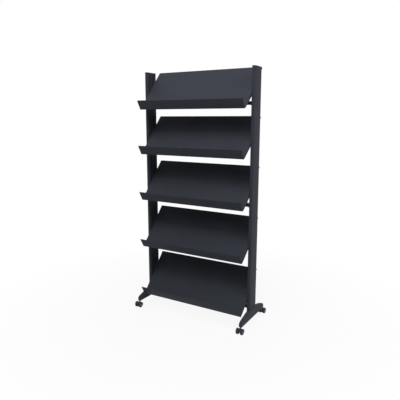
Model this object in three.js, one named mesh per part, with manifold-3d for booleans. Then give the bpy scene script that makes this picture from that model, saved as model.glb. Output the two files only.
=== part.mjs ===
// A mobile display rack: two slotted uprights on round-nosed feet with twin-wheel casters, tied by
// crossbars, with five inclined shelves of folded sheet hung on the uprights by hook brackets.
// Millimetres, +Z up, the front faces -Y. The origin is on the floor, midway between the casters.
import * as THREE from "three";
import { mergeGeometries, mergeVertices } from "three/addons/utils/BufferGeometryUtils.js";
import Module from "manifold-3d";

const wasm = await Module();
wasm.setup();

// Fits
const CLEARANCE = 0.3; // gap between pieces that seat on or in each other
const OVERCUT = 5; // how far a cutting solid runs past the face that it opens
const ROUND_SIDES = 8; // facets round a pin, bore or screw
const CORNER_STEPS = 2; // facets round the corner of a tube or a plate
const BEND_STEPS = 1; // facets round the corner, or half the bend, of a sheet

// Uprights
const UPRIGHT_SPACING = 744; // centre to centre
const UPRIGHT_WIDTH = 20;
const UPRIGHT_DEPTH = 90;
const UPRIGHT_WALL = 2;
const UPRIGHT_CORNER = 2.5;
const UPRIGHT_ABOVE_TOP_FOLD = 232; // tube above the fold line of the top shelf
const CAP_LID = 4;
const CAP_EDGE = 1;
const CAP_OVERHANG = 1; // lid beyond the tube on each side
const CAP_PLUG = 12;
const CAP_WALL = 2;

// Slots in the inner faces of the uprights
const SLOT = 10;
const SLOT_PITCH = 17.5;
const SLOT_COLUMN_INSET = 26.5; // front face of the upright to the front column
const SLOT_COLUMN_PITCH = 29;
const SLOT_END_MARGIN = 2; // metal left between the end slots and the cap plug or the spigot

// Shelves
const SHELF_NAMES = ["bottom", "lower", "middle", "upper", "top"];
const SHELF_STEPS = [0, 19, 37, 54, 70]; // slot rows above the bottom shelf
const SHELF_FOLD_Z = 85; // fold line of the bottom shelf
const SHELF_REACH = 81; // fold line in front of the uprights
const SHELF_END_GAP = 1;
const SHEET = 2;
const SHEET_BEND = 2; // inside radius
const PANEL_LENGTH = 325;
const PANEL_TILT = THREE.MathUtils.degToRad(48.2);
const REAR_FLANGE = 20;
const LIP_LENGTH = 63;
const LIP_TILT = THREE.MathUtils.degToRad(60);
const HEM = 9;
const HEM_BEND = 0.6; // inside radius of the turned edge on the lip

// Hook brackets under the shelf ends
const BRACKET_SHEET = 3;
const BRACKET_FLANGE = 18;
const BRACKET_MARGIN = 15; // plate left round the hooks
const BRACKET_CORNER = 5;
const HOOK_DROP = 30; // front hook below the panel, measured upright
const HOOK_ROWS = 2; // slot rows between the front and the rear hook
const HOOK_WIDTH = 8;
const HOOK_NIB = 3.5;

// Crossbars
const CROSSBAR_RISE = { bottom: 27, middle: 17.5, top: 34 }; // above the fold of the shelf of that name
const CROSSBAR_DEPTH = 40;
const CROSSBAR_HEIGHT = 20;
const CROSSBAR_WALL = 2;
const CROSSBAR_CORNER = 3;
const CROSSBAR_END = 4;
const GUSSET_LEG = 24;
const GUSSET_SHEET = 4;
const SCREW_RADIUS = 3;
const SCREW_HEAD_RADIUS = 5.5;
const SCREW_HEAD = 3;
const SCREW_HEAD_RIM = 1;
const SCREW_CROWN_RADIUS = 3.5;
const SCREW_GRIP = 10; // length inside the crossbar

// Feet
const FOOT_LENGTH = 336;
const FOOT_WIDTH = 20;
const FOOT_OUTSET = 5; // middle of the arms outside the middle of the upright
const FOOT_HUB_HEIGHT = 58.5; // under the upright
const FOOT_SHOULDER_HEIGHT = 50; // control point of the arm's curve, halfway along it
const FOOT_TOE_HEIGHT = 25.5;
const FOOT_NOSE = 12; // rounding of the toe, seen from the side
const FOOT_EDGE = 5; // rounding along the top and round the toes
const FOOT_CURVE_STEPS = 4;
const FOOT_EDGE_STEPS = 2;
const FOOT_WALL = 3;
const FOOT_BOSS_RADIUS = 12;
const SPIGOT_HEIGHT = 30;

// Casters
const CASTER_HEIGHT = 43; // floor to the underside of the foot
const CASTER_TRAIL = 13; // stem axis to axle
const CASTER_INSET = 10; // end of the foot to the stem axis
const WHEEL_RADIUS = 17;
const WHEEL_WIDTH = 14.5;
const WHEEL_EDGE = 1.5;
const WHEEL_SIDES = 16; // a multiple of four, so that a flat meets the floor
const WHEEL_SIDE_GAP = 0.5;
const RIM_RADIUS = 13;
const HUB_RADIUS = 7.5;
const DISH_DEPTH = 1; // hub face inside the rim
const AXLE_RADIUS = 3;
const AXLE_HEAD_RADIUS = 5;
const AXLE_HEAD = 1.2;
const HOOD_GAP = 0.8;
const HOOD_WALL = 1.6;
const HOOD_FROM = THREE.MathUtils.degToRad(-20); // behind the stem, below the axle
const HOOD_TO = THREE.MathUtils.degToRad(145); // above the trailing side
const HOOD_STEPS = 4;
const WEB_WIDTH = 12;
const WEB_BOSS_RADIUS = 7;
const WEB_FLANK = THREE.MathUtils.degToRad(30); // turn from the fender's ends to the web's round boss
const STEM_RADIUS = 4;
const STEM_SOCKET = 17; // stem inside the hood
const STEM_REACH = 20; // stem inside the foot
const STEM_COLLAR_RADIUS = 6.5;
const STEM_POINT = 1; // chamfer at the tip

// Derived places
const UPRIGHT_X = UPRIGHT_SPACING / 2;
const INNER_FACE_X = UPRIGHT_X - UPRIGHT_WIDTH / 2;
const SEAT_Z = CASTER_HEIGHT + FOOT_HUB_HEIGHT;
const FOLD_Y = -UPRIGHT_DEPTH / 2 - SHELF_REACH;
const SHELF_Z = SHELF_STEPS.map((step) => SHELF_FOLD_Z + step * SLOT_PITCH);
const UPRIGHT_TOP = SHELF_Z.at(-1) + UPRIGHT_ABOVE_TOP_FOLD;
const SLOT_COLUMNS = [0, 1].map(
  (column) => -UPRIGHT_DEPTH / 2 + SLOT_COLUMN_INSET + column * SLOT_COLUMN_PITCH,
);
const HOOK_RISE = (SLOT_COLUMNS[0] - FOLD_Y) * Math.tan(PANEL_TILT) - HOOK_DROP;
const CROSSBAR_Z = Object.fromEntries(
  Object.entries(CROSSBAR_RISE).map(([place, rise]) => [place, SHELF_Z[SHELF_NAMES.indexOf(place)] + rise]),
);
const FOOT_X = UPRIGHT_X + FOOT_OUTSET;
const FOOT_ARM = (FOOT_LENGTH - UPRIGHT_DEPTH) / 2;
const STEM_Y = FOOT_LENGTH / 2 - CASTER_INSET;
const SCREW_HOLE = SCREW_RADIUS + CLEARANCE;

// Finishes
const powderCoat = () => new THREE.MeshStandardMaterial({ color: 0x2c2f36, roughness: 0.55, metalness: 0.1 });
const blackPlastic = () => new THREE.MeshStandardMaterial({ color: 0x141417, roughness: 0.5, metalness: 0 });
const greyPlastic = () => new THREE.MeshStandardMaterial({ color: 0x2b2b2e, roughness: 0.6, metalness: 0 });
const steel = () => new THREE.MeshStandardMaterial({ color: 0x8c8f94, roughness: 0.35, metalness: 0.9 });

// Solids for joining and cutting

// A closed geometry as a solid, with its shared vertices merged.
function solid(geometry) {
  const bare = geometry.index ? geometry.toNonIndexed() : geometry.clone();
  bare.deleteAttribute("normal");
  bare.deleteAttribute("uv");
  const merged = mergeVertices(bare, 1e-4);
  const mesh = new wasm.Mesh({
    numProp: 3,
    vertProperties: merged.attributes.position.array,
    triVerts: new Uint32Array(merged.index.array),
  });
  return new wasm.Manifold(mesh);
}

// A solid back as a geometry with flat-shaded faces.
function geometryOf(body) {
  const mesh = body.getMesh();
  const geometry = new THREE.BufferGeometry();
  geometry.setAttribute("position", new THREE.BufferAttribute(mesh.vertProperties, 3));
  geometry.setIndex(new THREE.BufferAttribute(mesh.triVerts, 1));
  const flat = geometry.toNonIndexed();
  flat.computeVertexNormals();
  return flat;
}

// Several geometries that don't touch each other, as one solid.
function pattern(geometries) {
  const bare = geometries.map((geometry) => (geometry.index ? geometry.toNonIndexed() : geometry));
  return solid(mergeGeometries(bare));
}

// Shapes

// A closed polygon whose corners are rounded off by the same length along each edge.
function roundedPolygon(corners, rounding) {
  const shape = new THREE.Shape();
  corners.forEach((corner, i) => {
    const before = corners.at(i - 1);
    const after = corners[(i + 1) % corners.length];
    const enter = corner.clone().add(before.clone().sub(corner).setLength(rounding));
    const leave = corner.clone().add(after.clone().sub(corner).setLength(rounding));
    if (i === 0) {
      shape.moveTo(enter.x, enter.y);
    } else {
      shape.lineTo(enter.x, enter.y);
    }
    shape.quadraticCurveTo(corner.x, corner.y, leave.x, leave.y);
  });
  shape.closePath();
  return shape;
}

// A rectangle centred on the origin, with rounded corners.
function roundedRectangle(width, height, rounding) {
  const corners = [
    new THREE.Vector2(-width / 2, -height / 2),
    new THREE.Vector2(width / 2, -height / 2),
    new THREE.Vector2(width / 2, height / 2),
    new THREE.Vector2(-width / 2, height / 2),
  ];
  return roundedPolygon(corners, rounding);
}

// A sheet folded along a path of corners: out along its right side and back along its left, with an
// arc at each bend. Each inner corner has its own inside radius.
function foldedSheet(corners, thickness, insideRadii) {
  const direction = (i) => corners[i + 1].clone().sub(corners[i]).normalize();
  const left = (along) => new THREE.Vector2(-along.y, along.x);
  const bends = corners.slice(1, -1).map((corner, i) => {
    const incoming = direction(i);
    const turn = Math.atan2(incoming.cross(direction(i + 1)), incoming.dot(direction(i + 1)));
    const side = Math.sign(turn);
    const radius = insideRadii[i] + thickness / 2;
    const setback = radius * Math.tan(Math.abs(turn) / 2);
    const centre = corner.clone().addScaledVector(incoming, -setback);
    centre.addScaledVector(left(incoming), side * radius);
    const from = incoming.angle() - (side * Math.PI) / 2;
    return { centre, radius, side, from, to: from + turn };
  });
  const end = (corner, along, side) => corner.clone().addScaledVector(left(along), (side * thickness) / 2);
  const first = direction(0);
  const last = direction(corners.length - 2);
  const shape = new THREE.Shape();
  const start = end(corners[0], first, -1);
  shape.moveTo(start.x, start.y);
  for (const { centre, radius, side, from, to } of bends) {
    shape.absarc(centre.x, centre.y, radius + (side * thickness) / 2, from, to, side < 0);
  }
  for (const side of [-1, 1]) {
    const tip = end(corners.at(-1), last, side);
    shape.lineTo(tip.x, tip.y);
  }
  for (const { centre, radius, side, from, to } of bends.toReversed()) {
    shape.absarc(centre.x, centre.y, radius - (side * thickness) / 2, to, from, side > 0);
  }
  const back = end(corners[0], first, 1);
  shape.lineTo(back.x, back.y);
  shape.closePath();
  return shape;
}

// Extrusions

const extrude = (shape, depth, segments = CORNER_STEPS) =>
  new THREE.ExtrudeGeometry(shape, { depth, curveSegments: segments, bevelEnabled: false });

// What was drawn in X and Y and extruded along Z, turned so that it is drawn in Y and Z and runs along X.
function turnedAlongX(geometry) {
  const axes = new THREE.Matrix4().makeBasis(
    new THREE.Vector3(0, 1, 0),
    new THREE.Vector3(0, 0, 1),
    new THREE.Vector3(1, 0, 0),
  );
  return geometry.applyMatrix4(axes);
}

// A shape drawn in Y and Z, extruded along X from a start.
const alongX = (shape, from, length, segments) =>
  turnedAlongX(extrude(shape, length, segments)).translate(from, 0, 0);

// A shape drawn in X and Z, extruded along Y, centred on a place.
function alongY(shape, middle, length, segments) {
  return extrude(shape, length, segments)
    .rotateX(Math.PI / 2)
    .translate(0, middle + length / 2, 0);
}

// A round bar along X or Z between two ends, its flats on the radius, as a bore is measured.
function roundBar(axis, radius, from, to) {
  const corner = radius / Math.cos(Math.PI / ROUND_SIDES);
  const bar = new THREE.CylinderGeometry(corner, corner, to - from, ROUND_SIDES);
  if (axis === "x") {
    return bar.rotateZ(-Math.PI / 2).translate((from + to) / 2, 0, 0);
  }
  return bar.rotateX(Math.PI / 2).translate(0, 0, (from + to) / 2);
}

// A profile of radius and height turned about the Z axis.
function turned(profile, sides) {
  const points = profile.map(([radius, height]) => new THREE.Vector2(radius, height));
  return new THREE.LatheGeometry(points, sides, Math.PI / sides).rotateX(Math.PI / 2);
}

function named(name, geometry, material) {
  const mesh = new THREE.Mesh(geometry, material);
  mesh.name = name;
  return mesh;
}

// Uprights and their caps

// A tube with square slots in its inner wall and screw holes for the crossbars. Side is -1 or 1.
function upright(side) {
  const section = roundedRectangle(UPRIGHT_WIDTH, UPRIGHT_DEPTH, UPRIGHT_CORNER);
  const boreWidth = UPRIGHT_WIDTH - 2 * UPRIGHT_WALL;
  const boreDepth = UPRIGHT_DEPTH - 2 * UPRIGHT_WALL;
  section.holes.push(roundedRectangle(boreWidth, boreDepth, UPRIGHT_CORNER - UPRIGHT_WALL));
  const tube = solid(extrude(section, UPRIGHT_TOP - SEAT_Z)).translate([0, 0, SEAT_Z]);

  const hookZ = SHELF_Z[0] + HOOK_RISE;
  const lowest = SEAT_Z + SPIGOT_HEIGHT + SLOT_END_MARGIN + SLOT / 2;
  const highest = UPRIGHT_TOP - CAP_PLUG - SLOT_END_MARGIN - SLOT / 2;
  const slots = [];
  const firstRow = Math.ceil((lowest - hookZ) / SLOT_PITCH);
  const lastRow = Math.floor((highest - hookZ) / SLOT_PITCH);
  for (let row = firstRow; row <= lastRow; row += 1) {
    for (const y of SLOT_COLUMNS) {
      const x = (-side * (boreWidth + UPRIGHT_WALL)) / 2;
      const slot = new THREE.BoxGeometry(UPRIGHT_WALL + boreWidth / 2, SLOT, SLOT);
      slots.push(slot.translate(x, y, hookZ + row * SLOT_PITCH));
    }
  }
  const holes = Object.values(CROSSBAR_Z).map((z) =>
    roundBar("x", SCREW_HOLE, -UPRIGHT_WIDTH, UPRIGHT_WIDTH).translate(0, 0, z),
  );
  return geometryOf(tube.subtract(pattern(slots)).subtract(pattern(holes)));
}

// A lid with a broken edge on a hollow plug that fits the tube.
function uprightCap() {
  const lidShape = roundedRectangle(
    UPRIGHT_WIDTH + 2 * CAP_OVERHANG,
    UPRIGHT_DEPTH + 2 * CAP_OVERHANG,
    UPRIGHT_CORNER + CAP_OVERHANG,
  );
  const lid = new THREE.ExtrudeGeometry(lidShape, {
    depth: CAP_LID - 2 * CAP_EDGE,
    curveSegments: CORNER_STEPS,
    bevelThickness: CAP_EDGE,
    bevelSize: CAP_EDGE,
    bevelOffset: -CAP_EDGE,
    bevelSegments: 1,
  });
  const fit = 2 * (UPRIGHT_WALL + CLEARANCE);
  const plugWidth = UPRIGHT_WIDTH - fit;
  const plugDepth = UPRIGHT_DEPTH - fit;
  const rounding = UPRIGHT_CORNER - UPRIGHT_WALL;
  const plug = roundedRectangle(plugWidth, plugDepth, rounding);
  plug.holes.push(roundedRectangle(plugWidth - 2 * CAP_WALL, plugDepth - 2 * CAP_WALL, rounding));
  const lidSolid = solid(lid).translate([0, 0, CAP_EDGE]);
  const plugSolid = solid(extrude(plug, CAP_PLUG + CAP_EDGE)).translate([0, 0, -CAP_PLUG]);
  return geometryOf(lidSolid.add(plugSolid));
}

// Feet

// Top of the arm above the underside of the foot, at a distance from the middle: a quadratic curve.
function footTop(distance) {
  const share = (distance - UPRIGHT_DEPTH / 2) / FOOT_ARM;
  const near = THREE.MathUtils.lerp(FOOT_HUB_HEIGHT, FOOT_SHOULDER_HEIGHT, share);
  const far = THREE.MathUtils.lerp(FOOT_SHOULDER_HEIGHT, FOOT_TOE_HEIGHT, share);
  return THREE.MathUtils.lerp(near, far, share);
}

// The side view of the foot: arms that curve down from the hub to rounded toes, with a skirt below.
function footOutline(skirt) {
  const half = FOOT_LENGTH / 2;
  const hub = UPRIGHT_DEPTH / 2;
  const nose = half - FOOT_NOSE;
  const bendY = (hub + nose) / 2;
  const bendZ = THREE.MathUtils.lerp(FOOT_HUB_HEIGHT, FOOT_SHOULDER_HEIGHT, (nose - hub) / FOOT_ARM);
  const shape = new THREE.Shape();
  shape.moveTo(-half, -skirt);
  shape.lineTo(half, -skirt);
  shape.lineTo(half, FOOT_TOE_HEIGHT - FOOT_NOSE);
  shape.quadraticCurveTo(half, FOOT_TOE_HEIGHT, nose, footTop(nose));
  shape.quadraticCurveTo(bendY, bendZ, hub, FOOT_HUB_HEIGHT);
  shape.lineTo(-hub, FOOT_HUB_HEIGHT);
  shape.quadraticCurveTo(-bendY, bendZ, -nose, footTop(nose));
  shape.quadraticCurveTo(-half, FOOT_TOE_HEIGHT, -half, FOOT_TOE_HEIGHT - FOOT_NOSE);
  shape.closePath();
  return shape;
}

// A hollow under one arm between two distances from the middle, with a wall of metal above it.
function footPocket(from, to) {
  const shape = new THREE.Shape();
  shape.moveTo(from, -OVERCUT);
  shape.lineTo(to, -OVERCUT);
  shape.lineTo(to, footTop(to) - FOOT_WALL);
  shape.lineTo(from, footTop(from) - FOOT_WALL);
  shape.closePath();
  const width = FOOT_WIDTH - 2 * FOOT_WALL;
  return alongX(shape, -width / 2, width);
}

// Rounded arms open underneath, a hub that carries the upright, and a spigot that fills its tube and is
// pinned in it by the screw of the lowest crossbar. X = 0 is the middle of the arms. Side is -1 or 1.
function foot(side) {
  const skirt = 2 * FOOT_EDGE;
  const arms = new THREE.ExtrudeGeometry(footOutline(skirt), {
    depth: FOOT_WIDTH - 2 * FOOT_EDGE,
    curveSegments: FOOT_CURVE_STEPS,
    bevelThickness: FOOT_EDGE,
    bevelSize: FOOT_EDGE,
    bevelOffset: -FOOT_EDGE,
    bevelSegments: FOOT_EDGE_STEPS,
  });
  arms.translate(0, 0, FOOT_EDGE - FOOT_WIDTH / 2);
  const skirtBox = new THREE.BoxGeometry(2 * FOOT_WIDTH, 2 * FOOT_LENGTH, 2 * skirt).translate(0, 0, -skirt);
  const hubWidth = (UPRIGHT_WIDTH + FOOT_WIDTH) / 2 + FOOT_OUTSET;
  const hubX = (side * (FOOT_WIDTH - hubWidth)) / 2;
  const hub = extrude(roundedRectangle(hubWidth, UPRIGHT_DEPTH, UPRIGHT_CORNER), FOOT_HUB_HEIGHT);
  const fit = 2 * (UPRIGHT_WALL + CLEARANCE);
  const spigotShape = roundedRectangle(
    UPRIGHT_WIDTH - fit,
    UPRIGHT_DEPTH - fit,
    UPRIGHT_CORNER - UPRIGHT_WALL,
  );
  const spigot = extrude(spigotShape, FOOT_HUB_HEIGHT + SPIGOT_HEIGHT);
  const body = solid(turnedAlongX(arms))
    .subtract(solid(skirtBox))
    .add(solid(hub).translate([hubX, 0, 0]))
    .add(solid(spigot).translate([-side * FOOT_OUTSET, 0, 0]));

  const pocketFrom = UPRIGHT_DEPTH / 2 + FOOT_WALL;
  const pocketTo = STEM_Y - FOOT_BOSS_RADIUS;
  const rib = (pocketFrom + pocketTo) / 2;
  const spans = [
    [pocketFrom, rib - FOOT_WALL / 2],
    [rib + FOOT_WALL / 2, pocketTo],
  ];
  const cuts = [];
  for (const turn of [0, Math.PI]) {
    for (const [from, to] of spans) {
      cuts.push(footPocket(from, to).rotateZ(turn));
    }
    const bore = roundBar("z", STEM_RADIUS + CLEARANCE, -OVERCUT, STEM_REACH + CLEARANCE);
    cuts.push(bore.translate(0, STEM_Y, 0).rotateZ(turn));
  }
  const screwHole = roundBar("x", SCREW_HOLE, -UPRIGHT_WIDTH, UPRIGHT_WIDTH);
  cuts.push(screwHole.translate(-side * FOOT_OUTSET, 0, CROSSBAR_Z.bottom - CASTER_HEIGHT));
  return geometryOf(body.subtract(pattern(cuts)));
}

// Crossbars and their screws

// A closed-ended tube between the uprights, with a screw hole in each end and a gusset under it.
function crossbar() {
  const half = INNER_FACE_X - CLEARANCE;
  const outside = roundedRectangle(CROSSBAR_DEPTH, CROSSBAR_HEIGHT, CROSSBAR_CORNER);
  const inside = roundedRectangle(
    CROSSBAR_DEPTH - 2 * CROSSBAR_WALL,
    CROSSBAR_HEIGHT - 2 * CROSSBAR_WALL,
    CROSSBAR_CORNER - CROSSBAR_WALL,
  );
  const hollow = half - CROSSBAR_END;
  let body = solid(alongX(outside, -half, 2 * half)).subtract(solid(alongX(inside, -hollow, 2 * hollow)));
  for (const side of [-1, 1]) {
    const gusset = new THREE.Shape();
    gusset.moveTo(side * half, -GUSSET_LEG - CROSSBAR_HEIGHT / 2);
    gusset.lineTo(side * half, -CROSSBAR_HEIGHT / 2 + CROSSBAR_WALL / 2);
    gusset.lineTo(side * (half - GUSSET_LEG), -CROSSBAR_HEIGHT / 2 + CROSSBAR_WALL / 2);
    gusset.lineTo(side * (half - GUSSET_LEG), -CROSSBAR_HEIGHT / 2);
    gusset.quadraticCurveTo(
      side * half,
      -CROSSBAR_HEIGHT / 2,
      side * half,
      -GUSSET_LEG - CROSSBAR_HEIGHT / 2,
    );
    const middle = -CROSSBAR_DEPTH / 2 + CROSSBAR_CORNER + GUSSET_SHEET / 2;
    body = body.add(solid(alongY(gusset, middle, GUSSET_SHEET)));
  }
  return geometryOf(body.subtract(solid(roundBar("x", SCREW_HOLE, -half - OVERCUT, half + OVERCUT))));
}

// A button-head screw along X, its head outside the upright and its tip inside the crossbar.
function crossbarScrew() {
  const seat = CLEARANCE;
  const tip = -(UPRIGHT_WIDTH + CLEARANCE + SCREW_GRIP);
  const profile = [
    [0, tip],
    [SCREW_RADIUS, tip],
    [SCREW_RADIUS, seat],
    [SCREW_HEAD_RADIUS, seat],
    [SCREW_HEAD_RADIUS, seat + SCREW_HEAD_RIM],
    [SCREW_CROWN_RADIUS, seat + SCREW_HEAD],
    [0, seat + SCREW_HEAD],
  ];
  return turned(profile, ROUND_SIDES).rotateY(Math.PI / 2);
}

// Shelves and their brackets, drawn in Y and Z from the fold line

const upPanel = new THREE.Vector2(Math.cos(PANEL_TILT), Math.sin(PANEL_TILT));
const underPanel = new THREE.Vector2(Math.sin(PANEL_TILT), -Math.cos(PANEL_TILT));
const upLip = new THREE.Vector2(-Math.cos(LIP_TILT), Math.sin(LIP_TILT));
const insideLip = new THREE.Vector2(Math.sin(LIP_TILT), Math.cos(LIP_TILT));

// A point a distance up the panel and a distance below it.
const panelPoint = (up, under) =>
  new THREE.Vector2().addScaledVector(upPanel, up).addScaledVector(underPanel, under);

// One folded sheet: rear flange, inclined panel, front lip, and a hem turned in along the lip's edge.
function shelf() {
  const lipTop = upLip.clone().multiplyScalar(LIP_LENGTH);
  const hemTop = lipTop.clone().addScaledVector(insideLip, SHEET + 2 * HEM_BEND);
  const corners = [
    panelPoint(PANEL_LENGTH, REAR_FLANGE),
    panelPoint(PANEL_LENGTH, 0),
    new THREE.Vector2(0, 0),
    lipTop,
    hemTop,
    hemTop.clone().addScaledVector(upLip, -HEM),
  ];
  const half = INNER_FACE_X - SHELF_END_GAP;
  const profile = foldedSheet(corners, SHEET, [SHEET_BEND, SHEET_BEND, HEM_BEND, HEM_BEND]);
  return alongX(profile, -half, 2 * half, BEND_STEPS);
}

// A hook at a slot: a limb through the wall and a nib that drops behind it. X runs into the upright.
function hook(y, z) {
  const slotFloor = z - SLOT / 2 + CLEARANCE;
  const behindWall = UPRIGHT_WALL + CLEARANCE;
  const nibFloor = slotFloor - HOOK_NIB;
  const shape = new THREE.Shape();
  shape.moveTo(-BRACKET_SHEET, slotFloor);
  shape.lineTo(behindWall, slotFloor);
  shape.lineTo(behindWall, nibFloor);
  shape.lineTo(behindWall + BRACKET_SHEET, nibFloor);
  shape.lineTo(behindWall + BRACKET_SHEET, slotFloor + BRACKET_SHEET / 2);
  shape.lineTo(behindWall + BRACKET_SHEET / 2, slotFloor + BRACKET_SHEET);
  shape.lineTo(-BRACKET_SHEET, slotFloor + BRACKET_SHEET);
  shape.closePath();
  return alongY(shape, y, HOOK_WIDTH);
}

// An angle along the underside of the panel: a flange under the sheet, a web beside the upright and
// two hooks. X = 0 is the inner face of the upright, and X runs into it.
function bracket() {
  const places = SLOT_COLUMNS.map((y, column) => {
    const offset = new THREE.Vector2(y - FOLD_Y, HOOK_RISE + column * HOOK_ROWS * SLOT_PITCH);
    return { offset, up: offset.dot(upPanel), under: offset.dot(underPanel) };
  });
  const ups = places.map((place) => place.up);
  const unders = places.map((place) => place.under);
  const from = Math.min(...ups) - BRACKET_MARGIN;
  const to = Math.max(...ups) + BRACKET_MARGIN;
  const top = SHEET / 2 + CLEARANCE;
  const bottom = Math.max(...unders) + BRACKET_MARGIN;
  const webShape = roundedPolygon(
    [panelPoint(from, top), panelPoint(from, bottom), panelPoint(to, bottom), panelPoint(to, top)],
    BRACKET_CORNER,
  );
  const flangeShape = new THREE.Shape([
    panelPoint(from + BRACKET_CORNER, top),
    panelPoint(from + BRACKET_CORNER, top + BRACKET_SHEET),
    panelPoint(to - BRACKET_CORNER, top + BRACKET_SHEET),
    panelPoint(to - BRACKET_CORNER, top),
  ]);
  const web = solid(alongX(webShape, -CLEARANCE - BRACKET_SHEET, BRACKET_SHEET, BEND_STEPS));
  const flange = solid(alongX(flangeShape, -CLEARANCE - BRACKET_FLANGE, BRACKET_FLANGE));
  let body = web.add(flange);
  for (const { offset } of places) {
    body = body.add(solid(hook(offset.x, offset.y)));
  }
  return geometryOf(body);
}

// Casters, drawn as at the front: the axle along X at the origin, the stem behind it at +Y

// A wheel with a dished outer face, centred on its own width along X. Its flats lie on the radius.
function casterWheel() {
  const flats = 1 / Math.cos(Math.PI / WHEEL_SIDES);
  const half = WHEEL_WIDTH / 2;
  const bore = AXLE_RADIUS + CLEARANCE;
  const profile = [
    [bore, -half],
    [WHEEL_RADIUS - WHEEL_EDGE, -half],
    [WHEEL_RADIUS, WHEEL_EDGE - half],
    [WHEEL_RADIUS, half - WHEEL_EDGE],
    [WHEEL_RADIUS - WHEEL_EDGE, half],
    [RIM_RADIUS, half],
    [HUB_RADIUS, half - DISH_DEPTH],
    [bore, half - DISH_DEPTH],
    [bore, -half],
  ].map(([radius, place]) => [radius * flats, place]);
  return turned(profile, WHEEL_SIDES).rotateY(Math.PI / 2);
}

// A fender over both wheels on a web between them, bored for the axle and the stem.
function casterHood() {
  const inner = WHEEL_RADIUS + HOOD_GAP;
  const outer = inner + HOOD_WALL;
  const fender = new THREE.Shape();
  fender.absarc(0, 0, outer, HOOD_FROM, HOOD_TO, false);
  fender.absarc(0, 0, inner, HOOD_TO, HOOD_FROM, true);
  fender.closePath();
  const web = new THREE.Shape();
  web.absarc(0, 0, outer - HOOD_WALL / 2, HOOD_FROM, HOOD_TO, false);
  web.absarc(0, 0, WEB_BOSS_RADIUS, HOOD_TO + WEB_FLANK, HOOD_FROM + 2 * Math.PI - WEB_FLANK, false);
  web.closePath();
  const width = WEB_WIDTH + 2 * (WHEEL_SIDE_GAP + WHEEL_WIDTH);
  const axleBore = roundBar("x", AXLE_RADIUS + CLEARANCE, -WEB_WIDTH, WEB_WIDTH);
  const socketFloor = outer - STEM_SOCKET - CLEARANCE;
  const stemBore = roundBar("z", STEM_RADIUS + CLEARANCE, socketFloor, outer + OVERCUT);
  return geometryOf(
    solid(alongX(fender, -width / 2, width, HOOD_STEPS))
      .add(solid(alongX(web, -WEB_WIDTH / 2, WEB_WIDTH, HOOD_STEPS)))
      .subtract(solid(axleBore))
      .subtract(solid(stemBore.translate(0, CASTER_TRAIL, 0))),
  );
}

// A pin with a head at each end, along X.
function casterAxle() {
  const half = WEB_WIDTH / 2 + WHEEL_SIDE_GAP + WHEEL_WIDTH - DISH_DEPTH + CLEARANCE;
  const profile = [
    [0, -half - AXLE_HEAD],
    [AXLE_HEAD_RADIUS, -half - AXLE_HEAD],
    [AXLE_HEAD_RADIUS, -half],
    [AXLE_RADIUS, -half],
    [AXLE_RADIUS, half],
    [AXLE_HEAD_RADIUS, half],
    [AXLE_HEAD_RADIUS, half + AXLE_HEAD],
    [0, half + AXLE_HEAD],
  ];
  return turned(profile, ROUND_SIDES).rotateY(Math.PI / 2);
}

// A pin from the hood into the foot, with a collar that carries the foot.
function casterStem() {
  const hoodTop = WHEEL_RADIUS + HOOD_GAP + HOOD_WALL;
  const footFace = CASTER_HEIGHT - WHEEL_RADIUS;
  const tip = footFace + STEM_REACH;
  const profile = [
    [0, hoodTop - STEM_SOCKET],
    [STEM_RADIUS, hoodTop - STEM_SOCKET],
    [STEM_RADIUS, hoodTop + CLEARANCE],
    [STEM_COLLAR_RADIUS, hoodTop + CLEARANCE],
    [STEM_COLLAR_RADIUS, footFace - CLEARANCE],
    [STEM_RADIUS, footFace - CLEARANCE],
    [STEM_RADIUS, tip - STEM_POINT],
    [STEM_RADIUS - STEM_POINT, tip],
    [0, tip],
  ];
  return turned(profile, ROUND_SIDES).translate(0, CASTER_TRAIL, 0);
}

// Assembly

const rack = new THREE.Group();
const SIDES = { left: -1, right: 1 };

for (const [sideName, side] of Object.entries(SIDES)) {
  const post = named(`upright_${sideName}`, upright(side), powderCoat());
  post.position.x = side * UPRIGHT_X;
  const cap = named(`upright_cap_${sideName}`, uprightCap(), blackPlastic());
  cap.position.set(side * UPRIGHT_X, 0, UPRIGHT_TOP);
  const base = named(`foot_${sideName}`, foot(side), powderCoat());
  base.position.set(side * FOOT_X, 0, CASTER_HEIGHT);
  rack.add(post, cap, base);
}

for (const [place, height] of Object.entries(CROSSBAR_Z)) {
  const bar = named(`crossbar_${place}`, crossbar(), powderCoat());
  bar.position.z = height;
  rack.add(bar);
  for (const [sideName, side] of Object.entries(SIDES)) {
    const screw = named(`crossbar_screw_${place}_${sideName}`, crossbarScrew(), steel());
    screw.position.set(side * (UPRIGHT_X + UPRIGHT_WIDTH / 2), 0, height);
    screw.rotation.z = side < 0 ? Math.PI : 0;
    rack.add(screw);
  }
}

SHELF_NAMES.forEach((place, i) => {
  const hung = new THREE.Group();
  hung.position.set(0, FOLD_Y, SHELF_Z[i]);
  hung.add(named(`shelf_${place}`, shelf(), powderCoat()));
  for (const [sideName, side] of Object.entries(SIDES)) {
    const support = named(`shelf_bracket_${place}_${sideName}`, bracket(), powderCoat());
    support.position.x = side * INNER_FACE_X;
    support.scale.x = side;
    hung.add(support);
  }
  rack.add(hung);
});

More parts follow.
